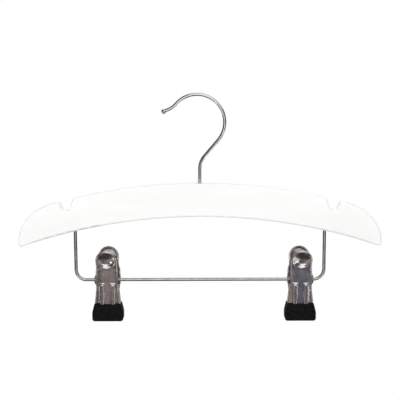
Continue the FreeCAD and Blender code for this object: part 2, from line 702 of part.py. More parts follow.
def jaw_stamping(label, shoulder):
    """Stamped jaw: flanged sheet with ribs, dished finger pad and two ears for the sleeve."""
    body = new_body(label)
    jaw_form(body, label, shoulder)
    hollow = new_body(label + "_hollow")
    far = "(sizes.flange_depth + sizes.rib_radius + sizes.cut_overrun)"
    jaw_blank(hollow, label + "_hollow", shoulder, of("sheet"), far, of("sheet"))
    cut = body.newObject("PartDesign::Boolean", label + "_tray")
    cut.Type = "Cut"
    cut.setObjects([hollow])
    document.recompute()
    for side, sign in (("left", "-"), ("right", "")):
        offset = "%ssizes.rib_spacing / 2" % sign
        core_radius = "(sizes.rib_radius - sizes.sheet)"
        core = rib_profile(body, "%s_%s_rib_core" % (label, side), offset, core_radius)
        document.recompute()
        turned(body, "%s_%s_rib_hollow" % (label, side), core, "V_Axis", "PartDesign::Groove")
    boss = dish_profile(body, label + "_dish_back", of("sheet"))
    document.recompute()
    turned(body, label + "_dish_boss", boss, "H_Axis")
    bowl = dish_profile(body, label + "_dish_bowl", "0")
    document.recompute()
    turned(body, label + "_dish", bowl, "H_Axis", "PartDesign::Groove")
    root = "(%s + sizes.sheet / 2)" % leg_face(of("ear_radius"))
    for side, sign in (("left", "-"), ("right", "")):
        middle = "%s(%s - sizes.sheet / 2)" % (sign, shoulder)
        ear = new_sketch(body, "%s_%s_ear_form" % (label, side), "YZ_Plane", middle)
        points = (
            (root, "-sizes.ear_radius"),
            ("0", "-sizes.ear_radius"),
            (of("ear_radius"), "0"),
            ("0", of("ear_radius")),
            (root, of("ear_radius")),
        )
        end = (of("ear_radius"), 1)
        draw(ear, points, {1: end, 2: end})
        document.recompute()
        pad(body, "%s_%s_ear" % (label, side), ear, of("sheet"))
    bore = new_sketch(body, label + "_bore_form", "YZ_Plane")
    draw_circle(bore, "0", "0", "%s + sizes.running_gap" % SLEEVE_RADIUS)
    document.recompute()
    pocket_through(body, label + "_bore", bore, "2 * (%s + sizes.cut_overrun)" % shoulder)
    return body


def tip_moulding(label, shoulder):
    """Rubber cap moulded round the foot of a jaw, with grooves on its gripping face."""
    body = new_body(label)
    face = "-sizes.tip_face_gap / 2"

    def outside(drop, wall):
        """Outer face of the rubber at a distance below the bar."""
        return "(%s - %s)" % (leg_face("-" + drop), wall)

    section = new_sketch(body, label + "_section", "YZ_Plane")
    points = (
        (face, "-sizes.flare_drop"),
        (outside(of("flare_drop"), of("tip_lip")), "-sizes.flare_drop"),
        (outside(of("tip_swell_drop"), of("tip_wall")), "-sizes.tip_swell_drop"),
        (outside(of("tip_bottom_drop"), of("tip_wall")), "-sizes.tip_bottom_drop"),
        (face, "-sizes.tip_bottom_drop"),
    )
    draw(section, points)
    document.recompute()
    slab = pad(body, label + "_slab", section, "2 * (sizes.tip_wide_half_width + sizes.cut_overrun)")
    half = (
        (of("tip_top_half_width"), "-sizes.flare_drop"),
        (of("tip_wide_half_width"), "-sizes.tip_wide_drop"),
        (of("tip_wide_half_width"), "-sizes.tip_bottom_drop"),
    )
    widening = "(sizes.tip_wide_half_width - sizes.tip_top_half_width)"
    rise = "(%s / (sizes.tip_wide_drop - sizes.flare_drop))" % widening
    above = "(sizes.tip_top_half_width - %s * sizes.cut_overrun)" % rise
    above_z = "(-sizes.flare_drop + sizes.cut_overrun)"
    below_z = "(-sizes.tip_bottom_drop - sizes.cut_overrun)"
    for side, sign in (("left", "-"), ("right", "")):
        form = new_sketch(body, "%s_%s_side" % (label, side), "XZ_Plane")
        beyond = "%s(sizes.tip_wide_half_width + 2 * sizes.cut_overrun)" % sign
        loop = (
            (sign + above, above_z),
            (sign + half[1][0], half[1][1]),
            (sign + half[2][0], below_z),
            (beyond, below_z),
            (beyond, above_z),
        )
        draw(form, loop)
        document.recompute()
        slab = pocket_through(body, "%s_%s_trim" % (label, side), form, "4 * sizes.bend_reach")
    across = FreeCAD.Vector(0, 1, 0)
    feature = slab
    for corner, pick, radius in (("low", 2, of("tip_corner_round")), ("wide", 1, of("leg_round"))):
        places = []
        for side in (1, -1):
            places.append(FreeCAD.Vector(side * number(half[pick][0]), 0, number(half[pick][1])))
        edges = edges_through(feature.Shape, places, across)
        feature = rounded(body, "%s_%s_corners" % (label, corner), feature, edges, radius)
    swell = FreeCAD.Vector(0, number(points[2][0]), number(points[2][1]))
    edges = edges_through(feature.Shape, (swell,), FreeCAD.Vector(1, 0, 0))
    feature = rounded(body, label + "_swell", feature, edges, of("leg_round"))

    def below_top(middle, normals):
        """True away from the top edge, which stays sharp."""
        return middle.z < number("-sizes.flare_drop - sizes.seat_gap")

    outer = sharp_edges(feature.Shape, below_top)
    rounded(body, label + "_edges", feature, outer, of("tip_edge_round"))
    form = new_body(label + "_seat")
    jaw_form(form, label + "_seat", shoulder)
    seat = body.newObject("PartDesign::Boolean", label + "_socket")
    seat.Type = "Cut"
    seat.setObjects([form])
    document.recompute()
    deep = "%s - sizes.grip_groove_depth" % face
    shallow = "%s + sizes.cut_overrun" % face
    spread = "(sizes.grip_groove_width / 2 + sizes.cut_overrun)"
    for step in range(GRIP_GROOVES):
        level = "(-sizes.grip_top_drop - %d * sizes.grip_pitch)" % step
        notch = new_sketch(body, "%s_grip_form_%d" % (label, step), "YZ_Plane")
        lower = "%s - %s" % (level, spread)
        upper = "%s + %s" % (level, spread)
        draw(notch, ((deep, level), (shallow, lower), (shallow, upper)))
        document.recompute()
        width = "2 * (sizes.tip_wide_half_width + sizes.cut_overrun)"
        pocket_through(body, "%s_grip_%d" % (label, step), notch, width)
    return body


def copy_of(form, label, place_x, turn):
    """Piece of a given form at its place on the bar."""
    body = new_body(label)
    base = body.newObject("PartDesign::FeatureBase", label + "_form")
    base.BaseFeature = form
    body.Placement.Rotation = FreeCAD.Rotation(FreeCAD.Vector(0, 0, 1), turn)
    place(body, place_x, "0", BAR_HEIGHT)
    finish(body)


def build_sleeve(label, place_x):
    """Hollow rivet through the four ears, with a rolled head at each end."""
    body = new_body(label)
    inner_end = "(%s + sizes.thrust_gap)" % REAR_HALF_WIDTH
    outer_end = "(%s + sizes.sleeve_head_height)" % inner_end
    head = of("sleeve_head_radius")
    half = ((outer_end, SLEEVE_BORE), (outer_end, head), (inner_end, head), (inner_end, SLEEVE_RADIUS))
    mirrored = tuple(("-%s" % x, r) for x, r in reversed(half))
    section = new_sketch(body, label + "_section", "XZ_Plane")
    draw(section, half + mirrored)
    document.recompute()
    turned(body, label + "_tube", section, "H_Axis")
    place(body, place_x, "0", BAR_HEIGHT)
    finish(body)


def biarc(start, heading, end, leaving):
    """Two arcs that join two points in space with given directions."""
    chord = end - start
    both = heading + leaving
    spread = 2 * (1 - heading.dot(leaving))
    reach = (math.sqrt(chord.dot(both) ** 2 + spread * chord.dot(chord)) - chord.dot(both)) / spread
    knee = start + heading * reach
    other = end - leaving * reach
    joint = (knee + other) * 0.5

    def arc(first, corner, last):
        """Arc tangent to both sides of a corner with equal sides."""
        middle = (first + last) * 0.5
        half = (last - first).Length / 2
        rise = (corner - middle).Length
        side = (corner - first).Length
        radius = half * side / rise
        centre = middle + (middle - corner).normalize() * math.sqrt(radius * radius - half * half)
        crown = centre + (corner - centre).normalize() * radius
        return Part.Arc(first, crown, last).toShape()

    return [arc(start, knee, joint), arc(joint, other, end)]


def build_spring(label, place_x):
    """Torsion spring round the sleeve, its two legs behind the finger pads."""
    radius = number(of("spring_radius"))
    pitch = number(of("spring_pitch"))
    leg = number(of("spring_leg"))
    wire = number(of("spring_wire"))
    height = number(DISH_HEIGHT)
    pad_face = "(sizes.pad_reach - %s * sizes.dish_drop)" % PAD_RISE
    beside = pitch * (SPRING_TURNS + 1 / 2) / 2
    bowl = number("(sizes.dish_radius^2 + sizes.dish_depth^2) / (2 * sizes.dish_depth)")
    hollow = max(math.sqrt(bowl * bowl - beside * beside) - bowl + number(of("dish_depth")), 0)
    room = number("%s - sizes.sheet - sizes.spring_pad_gap" % pad_face) - hollow
    lean = math.acos((radius + wire / 2) / math.hypot(room, height)) - math.atan2(height, room)
    sweep = math.pi - 2 * lean + 2 * math.pi * SPRING_TURNS
    begin = math.pi + lean
    climb = pitch / (2 * math.pi)

    def point(turned_by):
        """Place on the coil."""
        angle = begin + turned_by
        along = climb * (turned_by - sweep / 2)
        return FreeCAD.Vector(along, radius * math.cos(angle), radius * math.sin(angle))

    def heading(turned_by):
        """Direction of the wire there."""
        angle = begin + turned_by
        return FreeCAD.Vector(climb, -radius * math.sin(angle), radius * math.cos(angle)).normalize()

    steps = math.ceil(sweep / (2 * math.pi / ARCS_PER_TURN))
    stops = [sweep * step / steps for step in range(steps + 1)]
    foot = point(0) - heading(0) * leg
    head = point(sweep) + heading(sweep) * leg
    edges = [Part.LineSegment(foot, point(0)).toShape()]
    for first, last in zip(stops, stops[1:]):
        edges.extend(biarc(point(first), heading(first), point(last), heading(last)))
    edges.append(Part.LineSegment(point(sweep), head).toShape())
    path = Part.Wire(edges)
    section = Part.Wire([Part.Circle(foot, heading(0), wire / 2).toShape()])
    spring = document.addObject("Part::Feature", label)
    spring.Label = label
    spring.Shape = path.makePipeShell([section], True, False)
    place(spring, place_x, "0", BAR_HEIGHT)
    samples = []
    for edge in edges:
        samples.extend(edge.discretize(9)[:-1])
    travelled = [0.0]
    for first, last in zip(samples, samples[1:]):
        travelled.append(travelled[-1] + (last - first).Length)
    gap = None
    for index, first in enumerate(samples):
        for other in range(index + 1, len(samples)):
            if travelled[other] - travelled[index] < 2 * radius:
                continue
            clear = (samples[other] - first).Length - wire
            gap = clear if gap is None else min(gap, clear)
    print("%s: least gap between turns %.3f mm" % (label, gap))
    if gap < SPRING_GAP_FLOOR_SHARE * wire:
        raise RuntimeError("turns of %s too close" % label)
    finish(spring)


build_hook()
build_arm()
SHANK_BORE = "sizes.hook_wire / 2 + sizes.running_gap"
build_ring("hook_bush", SHANK_BORE, "sizes.bush_diameter / 2", POCKET_TOP, ARM_TOP)
build_ring("hook_washer", SHANK_BORE, "sizes.washer_diameter / 2", WASHER_FOOT, POCKET_TOP)
build_bar()
front_stamping = jaw_stamping("front_stamping", of("front_half_width"))
rear_stamping = jaw_stamping("rear_stamping", REAR_HALF_WIDTH)
moulding = tip_moulding("moulding", of("front_half_width"))
for side, place_x in (("left", "-sizes.left_clip_place"), ("right", of("right_clip_place"))):
    build_sleeve(side + "_hinge_sleeve", place_x)
    build_spring(side + "_spring", place_x)
    for face, stamping, turn in (("front", front_stamping, 0), ("rear", rear_stamping, 180)):
        copy_of(stamping, "%s_%s_jaw" % (side, face), place_x, turn)
        copy_of(moulding, "%s_%s_tip" % (side, face), place_x, turn)

document.recompute()
for item in document.Objects:
    if "Invalid" in item.State or "Error" in item.State:
        raise RuntimeError("%s: %s" % (item.Label, item.State))
os.makedirs("parts", exist_ok=True)
for piece in finished:
    shape = piece.Shape
    if shape.isNull() or not shape.isValid() or len(shape.Solids) != 1:
        raise RuntimeError("%s has no sound single solid" % piece.Label)
    shape.exportStep("parts/%s.step" % piece.Label)
    print("%-20s %9.1f mm3" % (piece.Label, shape.Volume))
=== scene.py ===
"""Skirt hanger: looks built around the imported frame."""

import logging
import math
from dataclasses import dataclass, field
from enum import Enum, IntEnum
from typing import Iterable, Optional, Sequence

import bmesh
import bpy
from mathutils import Matrix, Quaternion, Vector
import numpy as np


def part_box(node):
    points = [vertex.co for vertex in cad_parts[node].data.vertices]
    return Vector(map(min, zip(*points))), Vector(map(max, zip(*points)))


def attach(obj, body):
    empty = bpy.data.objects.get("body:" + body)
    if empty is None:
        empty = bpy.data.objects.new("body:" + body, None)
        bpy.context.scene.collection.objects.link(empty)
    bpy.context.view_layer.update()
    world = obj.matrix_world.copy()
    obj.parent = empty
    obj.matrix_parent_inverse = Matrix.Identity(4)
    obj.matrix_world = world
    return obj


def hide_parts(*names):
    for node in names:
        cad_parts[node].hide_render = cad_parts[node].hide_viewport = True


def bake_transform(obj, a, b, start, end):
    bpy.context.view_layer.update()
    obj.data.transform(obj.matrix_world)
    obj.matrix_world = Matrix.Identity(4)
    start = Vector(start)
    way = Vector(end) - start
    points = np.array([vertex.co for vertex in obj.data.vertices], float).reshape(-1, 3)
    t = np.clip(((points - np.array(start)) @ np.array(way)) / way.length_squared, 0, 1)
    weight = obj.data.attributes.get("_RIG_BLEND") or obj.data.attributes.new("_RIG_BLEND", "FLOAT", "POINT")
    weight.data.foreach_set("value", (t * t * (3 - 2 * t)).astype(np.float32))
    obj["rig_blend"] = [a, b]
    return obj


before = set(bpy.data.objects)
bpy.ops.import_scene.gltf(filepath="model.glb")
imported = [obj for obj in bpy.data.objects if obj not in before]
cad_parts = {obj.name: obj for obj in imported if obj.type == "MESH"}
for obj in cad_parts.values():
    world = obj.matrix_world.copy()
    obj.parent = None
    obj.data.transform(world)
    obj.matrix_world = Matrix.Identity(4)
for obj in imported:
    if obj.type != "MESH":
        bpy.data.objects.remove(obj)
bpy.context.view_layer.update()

LOG = logging.getLogger("skirt_hanger")
MERGE = 1e-6
ROUND_PROFILE = 0.5
NOISE_SPAN = (0.3, 0.7)

Colour = tuple[float, float, float]
Place = tuple[float, float, float]


# Finishes

class NodeBench:
    """Node tree of one material, with the few steps that the finishes share."""

    def __init__(self, name: str) -> None:
        """Starts a material that holds one shader.

        Args:
            name: Name of the material.
        """
        self.material = bpy.data.materials.new(name)
        self.material.use_nodes = True
        self.tree = self.material.node_tree
        self.shader = self.tree.nodes["Principled BSDF"]
        place = self.tree.nodes.new("ShaderNodeTexCoord")
        self.place = place.outputs["Object"]

    def set(self, **values: object) -> None:
        """Sets constant values on the shader's own sockets, with _ for a space."""
        for name, value in values.items():
            self.shader.inputs[name.replace("_", " ")].default_value = value

    def stretched(self, stretch: Sequence[float]) -> bpy.types.NodeSocket:
        """Object coordinates scaled along each axis.

        Args:
            stretch: Scale along X, Y and Z.

        Returns:
            Socket with the scaled coordinates.
        """
        mapping = self.tree.nodes.new("ShaderNodeMapping")
        mapping.inputs["Scale"].default_value = stretch
        self.tree.links.new(self.place, mapping.inputs["Vector"])
        return mapping.outputs["Vector"]

    def noise(self, scale: float, detail: float,
              stretch: Sequence[float] = (1, 1, 1)) -> bpy.types.NodeSocket:
        """Noise on the piece, finer with a larger scale.

        Args:
            scale: Waves per metre.
            detail: Octaves.
            stretch: Scale along X, Y and Z.

        Returns:
            Socket with a value about one half.
        """
        node = self.tree.nodes.new("ShaderNodeTexNoise")
        node.inputs["Scale"].default_value = scale
        node.inputs["Detail"].default_value = detail
        self.tree.links.new(self.stretched(stretch), node.inputs["Vector"])
        return node.outputs["Fac"]

    def tint(self, value: bpy.types.NodeSocket, low: Colour, high: Colour,
             span: tuple[float, float] = (0.35, 0.65)) -> None:
        """Colours the surface between two tones.

        Args:
            value: Socket that chooses the tone.
            low: Tone at the lower end of the span.
            high: Tone at the upper end.
            span: Values at which the tones are reached.
        """
        ramp = self.tree.nodes.new("ShaderNodeValToRGB")
        for stop, place, tone in zip(ramp.color_ramp.elements, span, (low, high)):
            stop.position = place
            stop.color = (*tone, 1.0)
        self.tree.links.new(value, ramp.inputs["Fac"])
        self.tree.links.new(ramp.outputs["Color"], self.shader.inputs["Base Color"])

    def gloss(self, value: bpy.types.NodeSocket, low: float, high: float) -> None:
        """Varies the roughness between two values.

        Args:
            value: Socket that chooses the roughness.
            low: Roughness where the value is low.
            high: Roughness where it is high.
        """
        spread = self.tree.nodes.new("ShaderNodeMapRange")
        spread.inputs["From Min"].default_value = NOISE_SPAN[0]
        spread.inputs["From Max"].default_value = NOISE_SPAN[1]
        spread.inputs["To Min"].default_value = low
        spread.inputs["To Max"].default_value = high
        self.tree.links.new(value, spread.inputs["Value"])
        self.tree.links.new(spread.outputs["Result"], self.shader.inputs["Roughness"])

    def bump(self, heights: Iterable[tuple[bpy.types.NodeSocket, float, float]]) -> None:
        """Raises the surface by one or more height fields.

        Args:
            heights: Socket, strength and distance in metres of each field.
        """
        before = None
        for height, strength, distance in heights:
            node = self.tree.nodes.new("ShaderNodeBump")
            node.inputs["Strength"].default_value = strength
            node.inputs["Distance"].default_value = distance
            self.tree.links.new(height, node.inputs["Height"])
            if before is not None:
                self.tree.links.new(before.outputs["Normal"], node.inputs["Normal"])
            before = node
        if before is not None:
            self.tree.links.new(before.outputs["Normal"], self.shader.inputs["Normal"])


@dataclass(frozen=True)
class SatinPaint:
    """White satin paint, sprayed over planed wood whose grain still shows a little."""

    name: str = "white_satin_paint"
    light: Colour = (0.945, 0.945, 0.94)
    shade: Colour = (0.915, 0.915, 0.905)
    roughness: tuple[float, float] = (0.34, 0.46)
    grain_scale: float = 70.0
    grain_octaves: float = 5.0
    grain_stretch: tuple[float, float, float] = (0.12, 1.0, 1.0)
    grain_strength: float = 0.10
    grain_height: float = 0.0004
    peel_scale: float = 900.0
    peel_octaves: float = 2.0
    peel_strength: float = 0.06
    peel_height: float = 0.00015
    coat_weight: float = 0.12
    coat_roughness: float = 0.25

    def material(self) -> bpy.types.Material:
        """Builds the paint.

        Returns:
            The finished material.
        """
        bench = NodeBench(self.name)
        grain = bench.noise(self.grain_scale, self.grain_octaves, self.grain_stretch)
        peel = bench.noise(self.peel_scale, self.peel_octaves)
        bench.tint(grain, self.shade, self.light)
        bench.gloss(peel, *self.roughness)
        bench.bump([
            (grain, self.grain_strength, self.grain_height),
            (peel, self.peel_strength, self.peel_height),
        ])
        bench.set(Coat_Weight=self.coat_weight, Coat_Roughness=self.coat_roughness)
        return bench.material


@dataclass(frozen=True)
class PlatedMetal:
    """Bright plating over steel, with faint drawing or rolling lines."""

    name: str
    light: Colour
    shade: Colour
    roughness: tuple[float, float] = (0.10, 0.20)
    cloud_scale: float = 160.0
    cloud_octaves: float = 3.0
    line_scale: float = 900.0
    line_octaves: float = 3.0
    line_stretch: tuple[float, float, float] = (1.0, 1.0, 1.0)
    line_strength: float = 0.05
    line_height: float = 0.0001
    ripple_scale: float = 220.0
    ripple_octaves: float = 1.0
    ripple_strength: float = 0.10
    ripple_height: float = 0.0004

    def material(self) -> bpy.types.Material:
        """Builds the plating.

        Returns:
            The finished material.
        """
        bench = NodeBench(self.name)
        cloud = bench.noise(self.cloud_scale, self.cloud_octaves)
        lines = bench.noise(self.line_scale, self.line_octaves, self.line_stretch)
        ripple = bench.noise(self.ripple_scale, self.ripple_octaves)
        bench.tint(cloud, self.shade, self.light)
        bench.gloss(lines, *self.roughness)
        bench.bump([
            (ripple, self.ripple_strength, self.ripple_height),
            (lines, self.line_strength, self.line_height),
        ])
        bench.set(Metallic=1.0)
        return bench.material


@dataclass(frozen=True)
class MouldedRubber:
    """Matt black rubber with a fine moulded grain and dust in it."""

    name: str = "black_grip_rubber"
    light: Colour = (0.008, 0.008, 0.009)
    shade: Colour = (0.003, 0.003, 0.0035)
    roughness: tuple[float, float] = (0.55, 0.75)
    cloud_scale: float = 350.0
    cloud_octaves: float = 4.0
    grain_scale: float = 2600.0
    grain_octaves: float = 2.0
    grain_strength: float = 0.25
    grain_height: float = 0.00012
    specular_level: float = 0.07

    def material(self) -> bpy.types.Material:
        """Builds the rubber.

        Returns:
            The finished material.
        """
        bench = NodeBench(self.name)
        cloud = bench.noise(self.cloud_scale, self.cloud_octaves)
        grain = bench.noise(self.grain_scale, self.grain_octaves)
        bench.tint(cloud, self.shade, self.light)
        bench.gloss(grain, *self.roughness)
        bench.bump([(grain, self.grain_strength, self.grain_height)])
        bench.set(Specular_IOR_Level=self.specular_level)
        return bench.material


WHITE_PAINT = SatinPaint()
GRIP_RUBBER = MouldedRubber()
CHROME_WIRE = PlatedMetal(
    "chrome_wire_plating", (0.66, 0.65, 0.66), (0.55, 0.54, 0.55), roughness=(0.12, 0.22))
# The trouser bar's chrome is the hook's chrome given a darker tone: painted shade that stands in for the
# darker reflections along the bar and its legs.
PAINTED_SHADE_BAR_CHROME = PlatedMetal(
    "bar_wire_plating", (0.48, 0.47, 0.475), (0.38, 0.37, 0.375), roughness=(0.12, 0.22))
CLIP_PLATE = PlatedMetal(
    "clip_chrome_plating", (0.60, 0.565, 0.55), (0.48, 0.45, 0.44), roughness=(0.08, 0.16),
    line_stretch=(1.0, 1.0, 0.08), line_strength=0.06)
CLIP_INSIDE = PlatedMetal(
    "clip_inside_plating", (0.57, 0.535, 0.52), (0.43, 0.405, 0.395), roughness=(0.20, 0.32),
    line_strength=0.02, ripple_strength=0.05)
CLIP_CUT = PlatedMetal(
    "clip_cut_edge", (0.22, 0.21, 0.205), (0.15, 0.143, 0.14), roughness=(0.30, 0.42))
RIVET_PLATE = PlatedMetal(
    "rivet_nickel_plating", (0.70, 0.68, 0.66), (0.58, 0.56, 0.54), roughness=(0.14, 0.24))
SPRING_WIRE = PlatedMetal(
    "oiled_spring_steel", (0.40, 0.39, 0.38), (0.28, 0.27, 0.265), roughness=(0.24, 0.36))
SWIVEL_STEEL = PlatedMetal(
    "zinc_swivel_steel", (0.56, 0.56, 0.57), (0.44, 0.44, 0.45), roughness=(0.28, 0.42))


# Mesh steps

def edges_of(verts: Iterable[bmesh.types.BMVert]) -> list[bmesh.types.BMEdge]:
    """Finds the edges that join the given vertices to each other.

    Args:
        verts: Vertices of one shape.

    Returns:
        Edges with both ends among them.
    """
    wanted = set(verts)
    found = {edge for vert in wanted for edge in vert.link_edges}
    return [edge for edge in found if set(edge.verts) <= wanted]


def verts_in(items: Iterable[object]) -> list[bmesh.types.BMVert]:
    """Vertices among the items that a mesh operator gave back."""
    return [item for item in items if isinstance(item, bmesh.types.BMVert)]


def cap(bm: bmesh.types.BMesh, ring: Sequence[bmesh.types.BMEdge]) -> None:
    """Closes a ring of edges with one face."""
    bmesh.ops.edgeloop_fill(bm, edges=list(ring))


def facing_turn(middle: Vector, degrees: float) -> Matrix:
    """Turn about the upright axis, followed by the move to a clip's middle."""
    return Matrix.Translation(middle) @ Matrix.Rotation(math.radians(degrees), 4, "Z")


def piece_from(bm: bmesh.types.BMesh, name: str, material: bpy.types.Material,
               crease_deg: float = 40.0) -> bpy.types.Object:
    """Makes an object of a finished bmesh.

    Args:
        bm: Shape in the part's own frame, freed here.
        name: Name of the piece.
        material: Finish of the piece.
        crease_deg: Angle past which an edge is drawn sharp.

    Returns:
        The new object, at the origin.
    """
    mesh = bpy.data.meshes.new(name)
    for face in bm.faces:
        face.smooth = True
    bm.to_mesh(mesh)
    bm.free()
    mesh.set_sharp_from_angle(angle=math.radians(crease_deg))
    mesh.materials.append(material)
    piece = bpy.data.objects.new(name, mesh)
    bpy.context.scene.collection.objects.link(piece)
    return piece


def dress(node: str, material: bpy.types.Material) -> None:
    """Gives a CAD node that stays in view its finish.

    Args:
        node: Name of the node.
        material: Finish of the node.
    """
    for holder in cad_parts[node].material_slots:
        holder.material = material
    LOG.info("node %s dressed with %s", node, material.name)


# Sub-assemblies

class Facing(Enum):
    """Which way a jaw looks, as its turn about the clip's upright axis in degrees."""

    FRONT = 0.0
    REAR = 180.0

    @property
    def label(self) -> str:
        """Word used in names."""
        return self.name.lower()


class Finish(IntEnum):
    """Material slots of a stamped jaw."""

    OUTSIDE = 0
    INSIDE = 1
    CUT = 2


@dataclass
class Stamping:
    """Stamped jaw: rolled rim, dished finger pad, two ribs and two ears."""

    side: str
    facing: Facing
    middle: Vector
    shoulder: float
    sheet: float = 0.0008
    flange_depth: float = 0.0026
    rim_radius: float = 0.0012
    pad_rim: float = 0.0019
    rim_fade: float = 0.0040
    bead: float = 0.0003
    pad_top: float = 0.0264
    pad_reach: float = 0.0126
    pad_radius: float = 0.0091
    bend_height: float = 0.0105
    bend_reach: float = 0.0070
    bend_softness: float = 0.00008
    foot_drop: float = 0.0332
    foot_reach: float = 0.0039
    foot_half: float = 0.0115
    flare_half: float = 0.0108
    flare_drop: float = 0.0200
    leg_half: float = 0.00945
    leg_drop: float = 0.0090
    shoulder_drop: float = 0.0046
    shoulder_top: float = 0.0076
    neck_half: float = 0.00875
    neck_height: float = 0.0120
    flare_ease: float = 0.0004
    leg_ease: float = 0.0009
    shoulder_foot_ease: float = 0.0005
    shoulder_top_ease: float = 0.0008
    neck_ease: float = 0.0011
    ease_cuts: int = 5
    pad_cuts: int = 26
    dish_height: float = 0.0178
    dish_radius: float = 0.0072
    dish_depth: float = 0.0020
    lip_softness: float = 0.00016
    rib_spacing: float = 0.0094
    rib_half: float = 0.0023
    rib_height: float = 0.00105
    rib_top: float = -0.0019
    rib_ramp: float = 0.0017
    rib_fullness: float = 4.0
    rib_softness: float = 0.00008
    crown_radius: float = 0.055
    crown_top: float = 0.0075
    crown_foot: float = -0.0205
    crown_fade: float = 0.0060
    ear_radius: float = 0.0040
    ear_bore: float = 0.00198
    ear_root: float = -0.0061
    ear_inset: float = 0.00005
    ear_cuts: int = 24
    bore_sides: int = 32
    flat_share: float = 0.5
    row: float = 0.0005
    rim_cuts: int = 5
    skin_cuts: int = 23

    @property
    def pad_slope(self) -> float:
        """Outward run of the finger pad for each unit of height."""
        return (self.pad_reach - self.bend_reach) / (self.pad_top - self.bend_height)

    @property
    def leg_slope(self) -> float:
        """Inward run of the gripping leg for each unit of drop."""
        return (self.bend_reach - self.foot_reach) / (self.bend_height + self.foot_drop)

    @property
    def pad_middle(self) -> float:
        """Height of the centre of the pad's round outline."""
        return self.pad_top - self.pad_radius

    def face(self, z: float) -> float:
        """Depth of the plain outer face.

        Args:
            z: Height above the bar.

        Returns:
            Depth, negative on the outside.
        """
        pad = -self.bend_reach - self.pad_slope * (z - self.bend_height)
        leg = -self.bend_reach + self.leg_slope * (self.bend_height - z)
        half = (pad - leg) / 2
        return (pad + leg) / 2 - math.hypot(half, self.bend_softness)

    def dish(self, x: float, z: float) -> float:
        """Depth of the hollow in the finger pad, with a soft lip.

        Args:
            x: Distance from the middle of the jaw.
            z: Height above the bar.

        Returns:
            Depth of the hollow below the face.
        """
        tilt = math.hypot(1, self.pad_slope)
        out = math.hypot(x, (z - self.dish_height) * tilt)
        bowl = (self.dish_radius ** 2 + self.dish_depth ** 2) / (2 * self.dish_depth)
        if out >= bowl:
            return 0.0
        depth = math.sqrt(bowl * bowl - out * out) - bowl + self.dish_depth
        return tilt * (depth + math.hypot(depth, self.lip_softness)) / 2

    def rib(self, x: float, z: float) -> float:
        """Rise of the two ribs above the leg, with a ramp at their tops.

        Args:
            x: Distance from the middle of the jaw.
            z: Height above the bar.

        Returns:
            Rise above the face.
        """
        across = abs(abs(x) - self.rib_spacing / 2) / self.rib_half
        ridge = self.rib_height * (1 - across ** self.rib_fullness)
        ridge = (ridge + math.hypot(ridge, self.rib_softness)) / 2
        return ridge * self.fade((self.rib_top - z) / self.rib_ramp)

    @staticmethod
    def fade(share: float) -> float:
        """Soft step from 0 to 1 as the share goes from 0 to 1."""
        share = min(max(share, 0.0), 1.0)
        return share * share * (3 - 2 * share)

    def crown(self, x: float, z: float) -> float:
        """Fall of the gripping leg towards its sides, none on the pad and in the rubber.

        Args:
            x: Distance from the middle of the jaw.
            z: Height above the bar.

        Returns:
            Depth behind the plain face.
        """
        below = self.fade((self.crown_top + self.crown_fade - z) / self.crown_fade)
        above = self.fade((z - self.crown_foot + self.crown_fade) / self.crown_fade)
        return below * above * x * x / (2 * self.crown_radius)

    def around_pad(self, z: float) -> float:
        """Share of the pad's wider rim at a height, 0 on the leg and 1 on the pad."""
        return self.fade((z - self.neck_height) / self.rim_fade)

    def rim(self, z: float) -> float:
        """Radius of the rolled rim, wider around the pad.

        Args:
            z: Height above the bar.

        Returns:
            Radius of the roll.
        """
        return self.rim_radius + (self.pad_rim - self.rim_radius) * self.around_pad(z)

    def spine(self, place: Vector) -> Vector:
        """Point of the jaw's middle line that a point of the outline looks at."""
        return Vector((0, 0, min(place.z, self.pad_middle)))

    def outline(self, bm: bmesh.types.BMesh) -> list[bmesh.types.BMEdge]:
        """Draws the right half of the outline, from the foot to the crown of the pad.

        Args:
            bm: Empty bmesh.

        Returns:
            Edges of the outline.
        """
        corners = (
            (self.foot_half, -self.foot_drop, 0),
            (self.flare_half, -self.flare_drop, self.flare_ease),
            (self.leg_half, -self.leg_drop, self.leg_ease),
            (self.shoulder, -self.shoulder_drop, self.shoulder_foot_ease),
            (self.shoulder, self.shoulder_top, self.shoulder_top_ease),
            (self.neck_half, self.neck_height, self.neck_ease),
            (self.pad_radius, self.pad_middle, 0),
        )
        verts = [bm.verts.new((x, 0, z)) for x, z, _ in corners]
        for pair in zip(verts, verts[1:]):
            bm.edges.new(pair)
        bmesh.ops.spin(bm, geom=[verts[-1]], cent=(0, 0, self.pad_middle), axis=(0, 1, 0),
                       angle=-math.pi / 2, steps=self.pad_cuts, use_duplicate=False)
        for vert, (_, _, ease) in zip(verts, corners):
            if ease:
                bmesh.ops.bevel(bm, geom=[vert], offset=ease, offset_type="OFFSET",
                                segments=self.ease_cuts, profile=ROUND_PROFILE,
                                affect="VERTICES", material=-1)
        for edge in list(bm.edges):
            cuts = int(edge.calc_length() / self.row)
            if cuts:
                bmesh.ops.subdivide_edges(bm, edges=[edge], cuts=cuts)
        return list(bm.edges)

